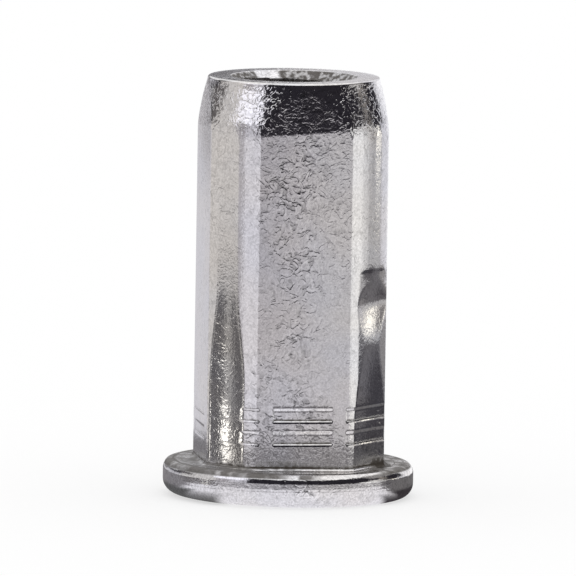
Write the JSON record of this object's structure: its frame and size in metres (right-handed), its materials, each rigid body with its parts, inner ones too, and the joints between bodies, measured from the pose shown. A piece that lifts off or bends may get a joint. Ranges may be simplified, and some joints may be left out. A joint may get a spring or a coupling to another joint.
{
  "type": "blind rivet nut",
  "caption": "Open-end blind rivet nut: flat round flange, four-sided shank with corner flutes and shallow die marks, swaged nose and threaded through hole.",
  "frame": {"origin": "centre of the flange's outer face, which it stands on", "axes": "+Z along the thread axis from the flange to the nose; the four flats of the shank face along X and Y"},
  "size_m": [0.016, 0.016, 0.0268],
  "materials": {
    "plated_steel": "bright zinc plated, semi-gloss"
  },
  "bodies": {
    "root": {"rivet_nut": "plated_steel"}
  },
  "joints": []
}
